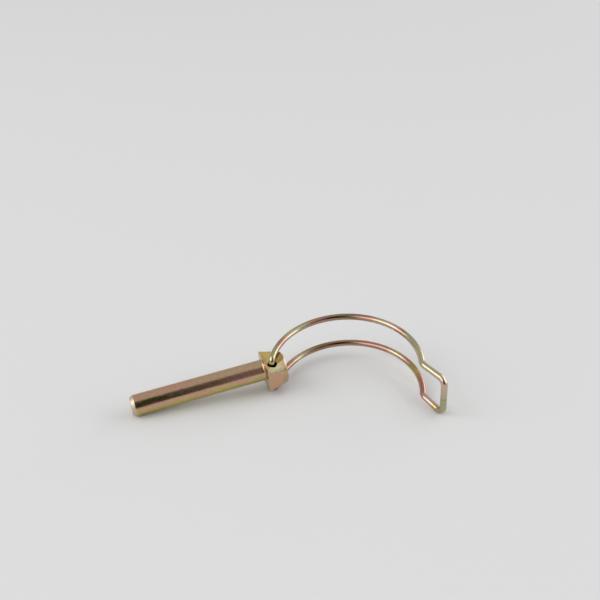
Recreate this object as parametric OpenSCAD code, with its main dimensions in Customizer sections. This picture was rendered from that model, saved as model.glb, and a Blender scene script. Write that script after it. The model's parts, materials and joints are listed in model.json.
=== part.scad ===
// Lynch pin with a round wire bail.
// A plain shank and a square head are one solid. One bent wire hangs in a cross hole in the head.
// It lies on the floor as it comes to rest: on the tip, and on the lower leg at the hinge and at the tab.
// Millimetres, +Z up, floor at z = 0, shank along X with the tip towards -X.

/* [Pin] */
// Diameter of the shank
shank_d = 10; // [8:0.5:11]
// Length of the shank from its tip to the head
shank_len = 63; // [50:0.5:70]
// Depth of the chamfer around the tip, across the shank
tip_chamfer = 1; // [0.4:0.1:1.6]
// Length of the chamfer around the tip, along the shank
tip_len = 1.6; // [0.6:0.1:3]
// Radius of the fillet between the shank and the head
shoulder_r = 0.95; // [0.55:0.1:1.75]

/* [Head] */
// Width of the head across the two plain flats
head_w = 15.2; // [14:0.2:17]
// Thickness of the head across the two drilled flats
head_t = 14; // [13:0.2:16]
// Length of the head along the shank
head_len = 9.8; // [9:0.2:11.6]
// Distance that the head sits off the shank's axis
head_shift = 1.6; // [1:0.1:2.2]
// Amount turned off the head's four long corners at the shoulder
corner_trim = 0.55; // [0.2:0.05:0.8]
// Angle that the turned corners run in towards the head's end
corner_taper = 14; // [8:0.5:16]
// Chamfer around the head's end
end_chamfer = 0.7; // [0.4:0.1:1.2]

/* [Hinge] */
// Diameter of the cross hole
hole_d = 4.4; // [4.1:0.1:5]
// Distance of the hinge line from the shoulder
hinge_x = 3.3; // [3:0.1:4.4]
// Distance of the hinge line from the shank's axis
hinge_off = 4.9; // [3.6:0.1:5.2]
// Play between the wire and the wall that it hangs against
hole_play = 0.15; // [0.1:0.05:0.3]
// Countersink around each mouth of the hole
hole_break = 0.2; // [0.1:0.05:0.4]

/* [Bail] */
// Diameter of the wire
wire_d = 3; // [2.5:0.1:3.2]
// Gap between each leg and the flat beside it
leg_gap = 0.7; // [0.4:0.1:2]
// Depth that each wire end reaches into the head
end_reach = 4.4; // [3:0.2:5.5]
// Bend radius where the legs turn into the hole, on the wire's centre line
end_bend_r = 2.3; // [2:0.1:2.8]
// Radius of the bow, on the wire's centre line
bow_r = 34.4; // [30:0.2:40]
// Angle between the shank's line and the start of the bow
bow_start = 55; // [45:1:62]
// Angle that the bow turns through
bow_sweep = 168; // [155:1:175]
// Angle that the finger tab bends back
kink_angle = 38; // [25:1:45]
// Bend radius between the bow and the tab
kink_r = 5; // [3.5:0.5:10]
// Length of the tab, to the middle of the end bar
tab_len = 12.6; // [9:0.2:18]
// Bend radius between the tab and the end bar
tab_bend_r = 3.6; // [2.5:0.1:4.5]
// Angle that the sprung legs are twisted apart, each from the middle
leg_skew = 2.8; // [0:0.2:3.4]
// Extra straight length at the start of the lower leg
lower_lead = 5.6; // [0:0.2:7]

/* [Hidden] */
$fn = 96;

shank_r = shank_d / 2;
wire_r = wire_d / 2;
hole_r = hole_d / 2;
corner_r = norm([head_w, head_t]) / 2 - corner_trim;
end_r = corner_r - (head_len - end_chamfer) * tan(corner_taper);
leg_z = head_t / 2 + leg_gap + wire_r;
hinge = [hinge_x, -hinge_off];
hole_at = hinge - [0, hole_r - wire_r - hole_play];
// The wire is built in lengths that meet inside a ball: each one stops this short of the middle
join_trim = 0.05;
// How far the ball stands proud of the wire, and its turn about the wire's line
join_proud = 0.012;
join_turn = 37;
// Overlap of a cutting tool past the face that it cuts
past = 1;

pin_colour = [0.68, 0.55, 0.38];
wire_colour = [0.74, 0.63, 0.45];

function unit(v) = v / norm(v);
function heading(a) = [cos(a), sin(a), 0];
function flat(p, z) = [p.x, p.y, z];

// One leg, side 1 above and side -1 below: its points in order and its headings
function leg_start(side) = bow_start + side * leg_skew;
function leg_lead(side) = end_bend_r + (side < 0 ? lower_lead : 0);
function leg_kink(side) = leg_start(side) - bow_sweep;
function leg_tab(side) = leg_kink(side) + kink_angle;
function leg_hinge(side) = flat(hinge, side * leg_z);
function bow_from(side) = leg_hinge(side) + leg_lead(side) * heading(leg_start(side));
function bow_mid(side) = bow_from(side) + bow_r * heading(leg_start(side) - 90);
function bow_to(side) = bow_mid(side) + bow_r * heading(leg_kink(side) + 90);
function kink_mid(side) = bow_to(side) + kink_r * heading(leg_kink(side) + 90);
function tab_from(side) = kink_mid(side) + kink_r * heading(leg_tab(side) - 90);
function tab_to(side) = tab_from(side) + tab_len * heading(leg_tab(side));

// The bend between the hole and a leg
function elbow_points(side, steps = 90) = [
    for (i = [0:steps])
        let (a = 90 * i / steps, start = heading(leg_start(side)))
            leg_hinge(side) + end_bend_r * ((1 - cos(a)) * start - (1 - sin(a)) * [0, 0, side])
];

// The bend between a tab and the end bar
function bar_dir(side) = unit(tab_to(-side) - tab_to(side));
function bar_turn(side) = acos(heading(leg_tab(side)) * bar_dir(side));
function bar_cut(side) = tab_bend_r * tan(bar_turn(side) / 2);
function bend_in(side) = tab_to(side) - bar_cut(side) * heading(leg_tab(side));
function bend_out(side) = tab_to(side) + bar_cut(side) * bar_dir(side);
function bend_side(side) =
    unit(bar_dir(side) - heading(leg_tab(side)) * (heading(leg_tab(side)) * bar_dir(side)));
function bend_mid(side) = bend_in(side) + tab_bend_r * bend_side(side);
function bend_points(side, steps = 90) = [
    for (i = [0:steps])
        let (a = bar_turn(side) * i / steps)
            bend_mid(side) + tab_bend_r * (heading(leg_tab(side)) * sin(a) - bend_side(side) * cos(a))
];
function bow_points(side, steps = 160) = [
    for (i = [0:steps])
        bow_mid(side) + bow_r * heading(leg_start(side) + 90 - bow_sweep * i / steps)
];

// Where the part meets a floor whose downward direction is g
function lowest(points, g) =
    let (best = max([for (p = points) p * g]))
        [for (p = points) if (p * g == best) p][0] + wire_r * g;
function tip_touch(g) = [-shank_len + tip_len, 0, 0] + shank_r * unit([0, g.y, g.z]);
function hinge_touch(g) = lowest(elbow_points(-1), g);
function tab_touch(g) = lowest(bend_points(-1), g);
function floor_from(a, b, c, up) =
    let (n = unit(cross(b - a, c - a)))
        n * up > 0 ? n : -n;
function floor_up(up, rounds) =
    rounds == 0 ? up
    : floor_up(floor_from(tip_touch(-up), hinge_touch(-up), tab_touch(-up), up), rounds - 1);

up = floor_up([0, 0, 1], 12);
ahead = unit([1, 0, 0] - up * up.x);
aside = cross(up, ahead);

// Overall reach of the part along a direction in the floor
bail_points = concat(bow_points(1), bow_points(-1), bend_points(1), bend_points(-1));
function reach(v) = max(concat(
    [for (p = bail_points) p * v + wire_r],
    [[-shank_len, 0, 0] * v + (shank_r - tip_chamfer) * norm([0, v.y, v.z])],
    [[-shank_len + tip_len, 0, 0] * v + shank_r * norm([0, v.y, v.z])],
    [[0, -head_shift, 0] * v + corner_r * norm([0, v.y, v.z])],
    [[head_len - end_chamfer, -head_shift, 0] * v + end_r * norm([0, v.y, v.z])]
));
centre_x = (reach(ahead) - reach(-ahead)) / 2;
centre_y = (reach(aside) - reach(-aside)) / 2;
floor_z = tip_touch(-up) * up;

// Puts its children down on the floor, with the middle of the part's outline at the origin
module at_rest() {
    multmatrix([
        [ahead.x, ahead.y, ahead.z, -centre_x],
        [aside.x, aside.y, aside.z, -centre_y],
        [up.x, up.y, up.z, -floor_z],
        [0, 0, 0, 1]
    ])
        children();
}

// Turns a solid that is built along Z to run along a direction
module along(v) {
    rotate([0, acos(v.z), atan2(v.y, v.x)])
        children();
}

module shank() {
    along([1, 0, 0]) {
        translate([0, 0, -shank_len + tip_len])
            cylinder(r = shank_r, h = shank_len - tip_len + past);
        translate([0, 0, -shank_len])
            cylinder(r1 = shank_r - tip_chamfer, r2 = shank_r, h = tip_len);
    }
}

// Hollow fillet where the shank runs into the shoulder, kept inside the head's outline
module shoulder_fillet() {
    intersection() {
        along([1, 0, 0])
            rotate_extrude()
                difference() {
                    translate([shank_r - past, -shoulder_r])
                        square([past + shoulder_r, shoulder_r + past]);
                    translate([shank_r + shoulder_r, -shoulder_r])
                        circle(r = shoulder_r);
                }
        translate([-shoulder_r - past, -head_shift - head_w / 2, -head_t / 2])
            cube([shoulder_r + 2 * past, head_w, head_t]);
    }
}

// Square head, its corners turned to a taper and its free end chamfered
module head_block() {
    intersection() {
        translate([0, -head_shift - head_w / 2, -head_t / 2])
            cube([head_len, head_w, head_t]);
        translate([0, -head_shift, 0])
            along([1, 0, 0])
                rotate_extrude()
                    polygon([
                        [0, 0],
                        [corner_r, 0],
                        [end_r, head_len - end_chamfer],
                        [end_r - end_chamfer, head_len],
                        [0, head_len]
                    ]);
    }
}

module cross_hole() {
    translate([hole_at.x, hole_at.y, -head_t / 2 - past])
        cylinder(r = hole_r, h = head_t + 2 * past);
    for (side = [0, 1])
        mirror([0, 0, side])
            translate([hole_at.x, hole_at.y, head_t / 2 - hole_break])
                cylinder(r1 = hole_r, r2 = hole_r + hole_break + past, h = hole_break + past);
}

module pin() {
    color(pin_colour)
        difference() {
            union() {
                shank();
                shoulder_fillet();
                head_block();
            }
            cross_hole();
        }
}

// Straight length of wire
module rod(from, to) {
    run = unit(to - from);
    translate(from + join_trim * run)
        along(run)
            cylinder(r = wire_r, h = norm(to - from) - 2 * join_trim);
}

// Bent length of wire that leaves a point along one direction and turns towards another
module bend(from, run, towards, radius, angle) {
    mid = from + radius * towards;
    axis = cross(run, towards);
    trim = join_trim / radius * 180 / PI;
    multmatrix([
        [-towards.x, run.x, axis.x, mid.x],
        [-towards.y, run.y, axis.y, mid.y],
        [-towards.z, run.z, axis.z, mid.z],
        [0, 0, 0, 1]
    ])
        rotate(trim)
            rotate_extrude(angle = angle - 2 * trim)
                translate([radius, 0])
                    circle(r = wire_r);
}

// Ball that joins two lengths of wire
module join(at, run) {
    translate(at)
        along(run)
            rotate(join_turn)
                sphere(r = wire_r + join_proud);
}

module bail_leg(side) {
    rise = [0, 0, side];
    start = heading(leg_start(side));
    foot = leg_hinge(side) - end_bend_r * rise;
    rod(flat(hinge, side * (head_t / 2 - end_reach)), foot);
    join(foot, rise);
    bend(foot, rise, start, end_bend_r, 90);
    if (side < 0 && lower_lead > 0) {
        join(leg_hinge(side) + end_bend_r * start, start);
        rod(leg_hinge(side) + end_bend_r * start, bow_from(side));
    }
    join(bow_from(side), start);
    bend(bow_from(side), start, heading(leg_start(side) - 90), bow_r, bow_sweep);
    join(bow_to(side), heading(leg_kink(side)));
    bend(bow_to(side), heading(leg_kink(side)), heading(leg_kink(side) + 90), kink_r, kink_angle);
    join(tab_from(side), heading(leg_tab(side)));
    rod(tab_from(side), bend_in(side));
    join(bend_in(side), heading(leg_tab(side)));
    bend(bend_in(side), heading(leg_tab(side)), bend_side(side), tab_bend_r, bar_turn(side));
    join(bend_out(side), bar_dir(side));
}

module wire_bail() {
    color(wire_colour) {
        bail_leg(1);
        bail_leg(-1);
        rod(bend_out(1), bend_out(-1));
    }
}

at_rest() pin();
at_rest() wire_bail();
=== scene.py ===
"""Looks for the lynch pin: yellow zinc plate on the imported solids, in a light tent."""

import json
import math

import bpy
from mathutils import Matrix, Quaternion, Vector

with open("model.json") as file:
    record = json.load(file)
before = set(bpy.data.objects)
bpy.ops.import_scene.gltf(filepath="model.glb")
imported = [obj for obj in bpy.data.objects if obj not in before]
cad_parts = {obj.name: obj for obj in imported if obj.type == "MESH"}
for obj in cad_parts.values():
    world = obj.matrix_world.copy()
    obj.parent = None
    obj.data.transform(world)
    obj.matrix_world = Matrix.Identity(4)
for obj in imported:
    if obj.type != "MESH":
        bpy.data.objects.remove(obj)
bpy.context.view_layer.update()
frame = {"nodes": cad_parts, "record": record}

# Photograph: a square frame, and the camera that was solved for it
PHOTO_PX = 600
FOCAL_PX = 900
SENSOR_MM = 36
CAMERA_AT = Vector((-0.0998, -0.3258, 0.2432))
CAMERA_AZIMUTH = math.radians(-18.44)
CAMERA_ELEVATION = math.radians(28.84)
CAMERA_ROLL = math.radians(-0.94)

# Stage
FLOOR_SIZE = 4.0
FLOOR_GREY = 0.765
BACKDROP_GREY = 0.72
LAMP_DISTANCE = 4.0

# Tent: greys of its cloth by height, and of its open front from left to right
CLOTH = [(0.0, 0.52), (1.0, 0.60)]
FRONT = [(0.04, 0.0), (0.12, 0.30), (0.20, 0.28), (0.30, 0.15), (0.55, 0.45)]
# Middle of the cloth, and how far along that direction the front gives way to it
CLOTH_WAY = (0.0, 0.8, 0.6)
CLOTH_EDGE = (0.12, 0.42)
# Middle of a brighter patch, and the greys that it adds
GLOW_WAY = (0.62, -0.30, 0.72)
GLOW = [(0.82, 0.0), (0.97, 0.45)]

# Plating tints, as the metal reflects a white card; green, brown, umber and blush also serve below as painted
# shade and painted highlights
TAN = (0.56, 0.40, 0.24)
PINK = (0.60, 0.36, 0.24)
ROSE = (0.62, 0.34, 0.27)
OLIVE = (0.54, 0.45, 0.15)
GREEN = (0.31, 0.30, 0.10)
BROWN = (0.44, 0.27, 0.15)
UMBER = (0.46, 0.36, 0.19)
RUST = (0.52, 0.31, 0.12)
GOLD = (0.78, 0.57, 0.20)
STRAW = (0.76, 0.65, 0.42)
SAGE = (0.62, 0.57, 0.35)
BLUSH = (0.87, 0.62, 0.52)
PALE = (0.62, 0.52, 0.41)

# Bands around the shank near each of its ends, counted from its far upper side: painted reflection set by the
# way the surface faces, with green and brown near the tip where it faces the tent's dark open front
REFLECTION_BANDS_AT_HEAD = [(0.26, TAN), (0.40, PINK), (0.52, ROSE), (0.66, PINK), (0.76, TAN), (0.86, OLIVE)]
REFLECTION_BANDS_AT_TIP = [(0.26, PINK), (0.38, TAN), (0.44, GREEN), (0.58, BROWN), (0.70, ROSE), (0.90, OLIVE)]
# Patches along the head on its top, its sides and its turned corners
HEAD_TOP = [(0.10, OLIVE), (0.22, GOLD), (0.48, GOLD), (0.62, RUST), (0.90, UMBER)]
HEAD_SIDE = [(0.10, TAN), (0.18, TAN), (0.34, PINK), (0.64, PINK), (0.82, UMBER)]
HEAD_CORNER = [(0.10, TAN), (0.25, SAGE), (0.55, SAGE), (0.75, TAN)]
# Tints along each leg, by the turn around the middle of the bow: plating tints, with painted highlights in
# blush and painted shade in brown and umber
UPPER_LEG_TINT_AND_PAINTED_LIGHT = [
    (0.385, BLUSH), (0.40, STRAW), (0.46, STRAW), (0.49, SAGE), (0.52, SAGE), (0.54, PINK), (0.57, BLUSH),
    (0.60, STRAW), (0.64, ROSE), (0.68, BROWN), (0.71, UMBER), (0.75, ROSE), (0.78, PINK), (0.81, SAGE),
    (0.84, STRAW), (0.88, ROSE), (0.91, SAGE),
]
LOWER_LEG_TINT_AND_PAINTED_LIGHT = [
    (0.397, SAGE), (0.402, GOLD), (0.407, BLUSH), (0.42, BLUSH), (0.44, ROSE), (0.48, ROSE),
    (0.505, GOLD), (0.52, OLIVE), (0.54, ROSE), (0.58, STRAW), (0.60, ROSE), (0.65, ROSE),
    (0.67, PINK), (0.70, PINK), (0.75, BROWN), (0.78, TAN), (0.81, STRAW), (0.84, ROSE),
]
# Greys across the faint die mark on the end bar
DIE_MARK = [(0.0, 1.0), (0.5, 0.6), (1.0, 1.0)]

# Widths of the plating's patterns
STREAK_CELL = 0.003
PATCH_CELL = 0.006
WANDER_CELL = 0.003
PIN_GRAIN_CELL = 0.001
WIRE_GRAIN_CELL = 0.0006

# Ranges that the grain takes the shade and the roughness through
SHANK_SHADE = (0.86, 1.14)
HEAD_SHADE = (0.92, 1.08)
WIRE_SHADE = (0.66, 0.80)
PIN_ROUGH = (0.19, 0.26)
TIP_ROUGH = (0.42, 0.50)
WIRE_ROUGH = (0.16, 0.24)

# The shank's axis, and where its chamfer and the shoulder lie along it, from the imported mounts
MOUNTS = {mount["name"]: mount for mount in frame["record"]["mounts"]}
SHANK_AXIS = -Vector(MOUNTS["shank"]["axis"])
SHANK_LENGTH = MOUNTS["shank"]["dims"]["length_mm"] / 1000
CHAMFER_AT = SHANK_AXIS.dot(Vector(MOUNTS["shank"]["pos_m"])) - SHANK_LENGTH / 2
SHOULDER_AT = SHANK_AXIS.dot(Vector(MOUNTS["shoulder"]["pos_m"]))
# Along that axis: where the tip's bands give way, the stretch of the head's patches, and a sharp edge's width
TIP_FADE = (-0.046, -0.022)
HEAD_RUN = (SHOULDER_AT - 0.001, SHOULDER_AT + 0.011)
EDGE_WIDTH = 0.0003
# Direction that the shank's painted reflection bands and the head's sides are counted towards: down and to
# the near side
BAND_WAY = (0.0, -0.53, -0.85)
# Middle of the bow, and the heights where the upper leg's tints take over and where the die mark lies
BOW_X, BOW_Y = 0.0301, -0.0037
BETWEEN_LEGS = (0.0085, 0.0165)
DIE_MARK_RUN = (0.0093, 0.0101)


def add_node(tree, kind, inputs=None, **settings):
    """Makes a shader node, sets its properties, and sets or links its inputs."""
    made = tree.nodes.new(kind)
    for key, value in settings.items():
        setattr(made, key, value)
    for key, value in (inputs or {}).items():
        if isinstance(value, bpy.types.NodeSocket):
            tree.links.new(value, made.inputs[key])
        else:
            made.inputs[key].default_value = value
    return made


def grey(level):
    """A neutral colour."""
    return (level, level, level)


def ramp(tree, factor, stops):
    """Colour that runs through these (place, colour) stops."""
    made = add_node(tree, "ShaderNodeValToRGB", {"Fac": factor})
    elements = made.color_ramp.elements
    while len(elements) < len(stops):
        elements.new(1.0)
    for element, (place, colour) in zip(elements, stops):
        element.position = place
        element.color = (*colour, 1.0)
    return made.outputs["Color"]


def grey_ramp(tree, factor, stops):
    """Grey that runs through these (place, level) stops."""
    return ramp(tree, factor, [(place, grey(level)) for place, level in stops])


def noise(tree, vector, cell, detail=3.0):
    """Noise from 0 to 1 whose patches are about one cell wide."""
    return add_node(
        tree, "ShaderNodeTexNoise", {"Vector": vector, "Scale": 1 / cell, "Detail": detail}
    ).outputs["Fac"]


def remap(tree, value, old, new=(0.0, 1.0)):
    """Moves a value from one range to another, and keeps it inside the new one."""
    return add_node(
        tree,
        "ShaderNodeMapRange",
        {"Value": value, "From Min": old[0], "From Max": old[1], "To Min": new[0], "To Max": new[1]},
    ).outputs[0]


def shift(tree, pattern, most):
    """Noise from 0 to 1 as a shift to either side, by this much at most."""
    return remap(tree, pattern, (0.0, 1.0), (-most, most))


def between(tree, factor, first, second):
    """A range that goes over from the first to the second as the factor rises from 0 to 1."""
    return [remap(tree, factor, (0.0, 1.0), ends) for ends in zip(first, second)]


def add(tree, a, b):
    """Sum of two values."""
    return add_node(tree, "ShaderNodeMath", {0: a, 1: b}, operation="ADD").outputs[0]


def along(tree, vector, direction):
    """How far a vector runs along a direction."""
    return add_node(
        tree, "ShaderNodeVectorMath", {0: vector, 1: direction}, operation="DOT_PRODUCT"
    ).outputs["Value"]


def blend(tree, factor, a, b, how="MIX"):
    """Mixes two colours."""
    return add_node(
        tree, "ShaderNodeMix", {"Factor": factor, 6: a, 7: b}, data_type="RGBA", blend_type=how
    ).outputs[2]


def drawn_out(tree, place, times):
    """Coordinates whose patterns are drawn out along X."""
    drawn = add_node(tree, "ShaderNodeMapping", {"Vector": place, "Scale": (1 / times, 1, 1)})
    return drawn.outputs["Vector"]


def new_material(name):
    """An empty node material and its shader."""
    material = bpy.data.materials.new(name)
    material.use_nodes = True
    tree = material.node_tree
    tree.nodes.clear()
    shader = add_node(tree, "ShaderNodeBsdfPrincipled")
    add_node(tree, "ShaderNodeOutputMaterial", {"Surface": shader.outputs["BSDF"]})
    return material, tree, shader


def finish_plate(tree, shader, colour, grain, shade, rough):
    """Metal with this colour, shaded by a fine grain that also breaks up its gloss."""
    shading = remap(tree, grain, (0.2, 0.8), shade)
    tree.links.new(blend(tree, 1.0, colour, shading, "MULTIPLY"), shader.inputs["Base Color"])
    tree.links.new(remap(tree, grain, (0.3, 0.7), rough), shader.inputs["Roughness"])
    bump = add_node(tree, "ShaderNodeBump", {"Height": grain, "Strength": 0.01, "Distance": 0.0002})
    tree.links.new(bump.outputs["Normal"], shader.inputs["Normal"])
    shader.inputs["Metallic"].default_value = 1.0


def shank_tint(tree, level, run, on_tip, streaks):
    """Bands of tint that run along the shank by the way it faces, a painted reflection broken up by streaks,
    greener towards the tip and pale on its chamfer and end.
    """
    band = add(tree, level, shift(tree, streaks, 0.32))
    near_tip = remap(tree, add(tree, run, shift(tree, streaks, 0.017)), TIP_FADE, (1.0, 0.0))
    # Painted reflection: the bands follow the way the surface faces, greener and browner towards the tip
    sides = blend(tree, near_tip, ramp(tree, band, REFLECTION_BANDS_AT_HEAD), ramp(tree, band, REFLECTION_BANDS_AT_TIP))
    return blend(tree, on_tip, sides, (*PALE, 1.0))


def head_tint(tree, level, run, patches):
    """Patches of tint on the head: gold and rust on top, grey green on its corners, pink at the sides."""
    reach = remap(tree, add(tree, run, shift(tree, patches, 0.004)), HEAD_RUN)
    turned = add(tree, level, shift(tree, patches, 0.06))
    off_top = remap(tree, turned, (0.24, 0.34))
    on_side = remap(tree, turned, (0.60, 0.70))
    upper = blend(tree, off_top, ramp(tree, reach, HEAD_TOP), ramp(tree, reach, HEAD_CORNER))
    return blend(tree, on_side, upper, ramp(tree, reach, HEAD_SIDE))


def pin_plate():
    """Plate of the pin: painted reflection bands along the shank, patchy on the head, duller on the tip."""
    material, tree, shader = new_material("plated_pin")
    coordinates = add_node(tree, "ShaderNodeTexCoord")
    place = coordinates.outputs["Object"]
    level = remap(tree, along(tree, coordinates.outputs["Normal"], BAND_WAY), (-1.0, 1.0))
    run = along(tree, place, SHANK_AXIS)
    on_tip = remap(tree, run, (CHAMFER_AT - EDGE_WIDTH, CHAMFER_AT), (1.0, 0.0))
    on_head = remap(tree, run, (SHOULDER_AT - EDGE_WIDTH, SHOULDER_AT))

    # The shank's bands are painted reflection, darker and greener where it faces the tent's open front
    shank = shank_tint(tree, level, run, on_tip, noise(tree, drawn_out(tree, place, 4.0), STREAK_CELL))
    head = head_tint(tree, level, run, noise(tree, place, PATCH_CELL, 2.0))
    grain = noise(tree, drawn_out(tree, place, 1.5), PIN_GRAIN_CELL, 4.0)
    shade = between(tree, on_head, SHANK_SHADE, HEAD_SHADE)
    rough = between(tree, on_tip, PIN_ROUGH, TIP_ROUGH)
    finish_plate(tree, shader, blend(tree, on_head, shank, head), grain, shade, rough)
    return material


def wire_plate():
    """Plate of the wire: tints that change along each leg, among them painted highlights and painted shade,
    and a die mark across the end bar.
    """
    material, tree, shader = new_material("plated_wire")
    place = add_node(tree, "ShaderNodeTexCoord").outputs["Object"]
    centred = add_node(tree, "ShaderNodeMapping", {"Vector": place, "Location": (-BOW_X, -BOW_Y, 0)})
    around = {"Vector": centred.outputs["Vector"]}
    turn = add_node(tree, "ShaderNodeTexGradient", around, gradient_type="RADIAL").outputs["Fac"]
    run = add(tree, turn, shift(tree, noise(tree, place, WANDER_CELL), 0.02))

    height = along(tree, place, (0.0, 0.0, 1.0))
    on_upper = remap(tree, height, BETWEEN_LEGS)
    # Tints along the legs, with painted highlights and painted shade among them
    tint = blend(tree, on_upper, ramp(tree, run, LOWER_LEG_TINT_AND_PAINTED_LIGHT), ramp(tree, run, UPPER_LEG_TINT_AND_PAINTED_LIGHT))
    mark = grey_ramp(tree, remap(tree, height, DIE_MARK_RUN), DIE_MARK)
    colour = blend(tree, 1.0, tint, mark, "MULTIPLY")
    finish_plate(tree, shader, colour, noise(tree, place, WIRE_GRAIN_CELL, 4.0), WIRE_SHADE, WIRE_ROUGH)
    return material


def dress(node, material):
    """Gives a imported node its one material."""
    mesh = frame["nodes"][node].data
    mesh.materials.clear()
    mesh.materials.append(material)


def build_floor():
    """A plain pale floor, large enough to fill the picture."""
    bpy.ops.mesh.primitive_plane_add(size=FLOOR_SIZE)
    floor = bpy.context.object
    floor.name = "floor"
    material, _, shader = new_material("floor_paper")
    shader.inputs["Base Color"].default_value = (*grey(FLOOR_GREY), 1.0)
    shader.inputs["Roughness"].default_value = 0.9
    shader.inputs["Specular IOR Level"].default_value = 0.1
    floor.data.materials.append(material)


def soft_box(name, azimuth, elevation, width, height, radiance):
    """A rectangular lamp of an even brightness that faces the object, counted round from +Y towards +X."""
    data = bpy.data.lights.new(name, "AREA")
    data.shape = "RECTANGLE"
    data.size = width
    data.size_y = height
    data.energy = radiance * math.pi * width * height
    lamp = bpy.data.objects.new(name, data)
    turn, rise = math.radians(azimuth), math.radians(elevation)
    away = Vector((math.sin(turn) * math.cos(rise), math.cos(turn) * math.cos(rise), math.sin(rise)))
    lamp.location = LAMP_DISTANCE * away
    lamp.rotation_mode = "QUATERNION"
    lamp.rotation_quaternion = (-away).to_track_quat("-Z", "Y")
    bpy.context.scene.collection.objects.link(lamp)


def build_tent():
    """A pale tent that is open and darker in front, with a lamp on its left and right."""
    world = bpy.data.worlds.new("tent")
    bpy.context.scene.world = world
    world.use_nodes = True
    tree = world.node_tree
    tree.nodes.clear()
    way = add_node(tree, "ShaderNodeTexCoord").outputs["Generated"]
    cloth = grey_ramp(tree, along(tree, way, (0.0, 0.0, 1.0)), CLOTH)
    front = grey_ramp(tree, along(tree, way, (1.0, 0.0, 0.0)), FRONT)
    covered = remap(tree, along(tree, way, CLOTH_WAY), CLOTH_EDGE)
    glow = grey_ramp(tree, along(tree, way, GLOW_WAY), GLOW)
    tent = blend(tree, 1.0, blend(tree, covered, front, cloth), glow, "ADD")
    seen = add_node(tree, "ShaderNodeLightPath").outputs["Is Camera Ray"]
    shown = blend(tree, seen, tent, (*grey(BACKDROP_GREY), 1.0))
    background = add_node(tree, "ShaderNodeBackground", {"Color": shown, "Strength": 1.0})
    add_node(tree, "ShaderNodeOutputWorld", {"Surface": background.outputs["Background"]})

    soft_box("left_box", azimuth=-104, elevation=34, width=5.75, height=3.5, radiance=2.05)
    soft_box("right_box", azimuth=92, elevation=17, width=6.0, height=2.3, radiance=2.3)


def build_camera():
    """The photograph's camera: its place, its view and a slight roll."""
    data = bpy.data.cameras.new("photo_camera")
    data.sensor_width = SENSOR_MM
    data.lens = SENSOR_MM * FOCAL_PX / PHOTO_PX
    camera = bpy.data.objects.new("photo_camera", data)
    level = math.cos(CAMERA_ELEVATION)
    view = Vector(
        (-math.sin(CAMERA_AZIMUTH) * level, math.cos(CAMERA_AZIMUTH) * level, -math.sin(CAMERA_ELEVATION))
    )
    camera.location = CAMERA_AT
    camera.rotation_mode = "QUATERNION"
    camera.rotation_quaternion = view.to_track_quat("-Z", "Y") @ Quaternion((0, 0, 1), CAMERA_ROLL)
    bpy.context.scene.collection.objects.link(camera)
    bpy.context.scene.camera = camera


dress("pin", pin_plate())
dress("wire_bail", wire_plate())
build_floor()
build_tent()
build_camera()
bpy.context.scene.view_settings.view_transform = "Standard"
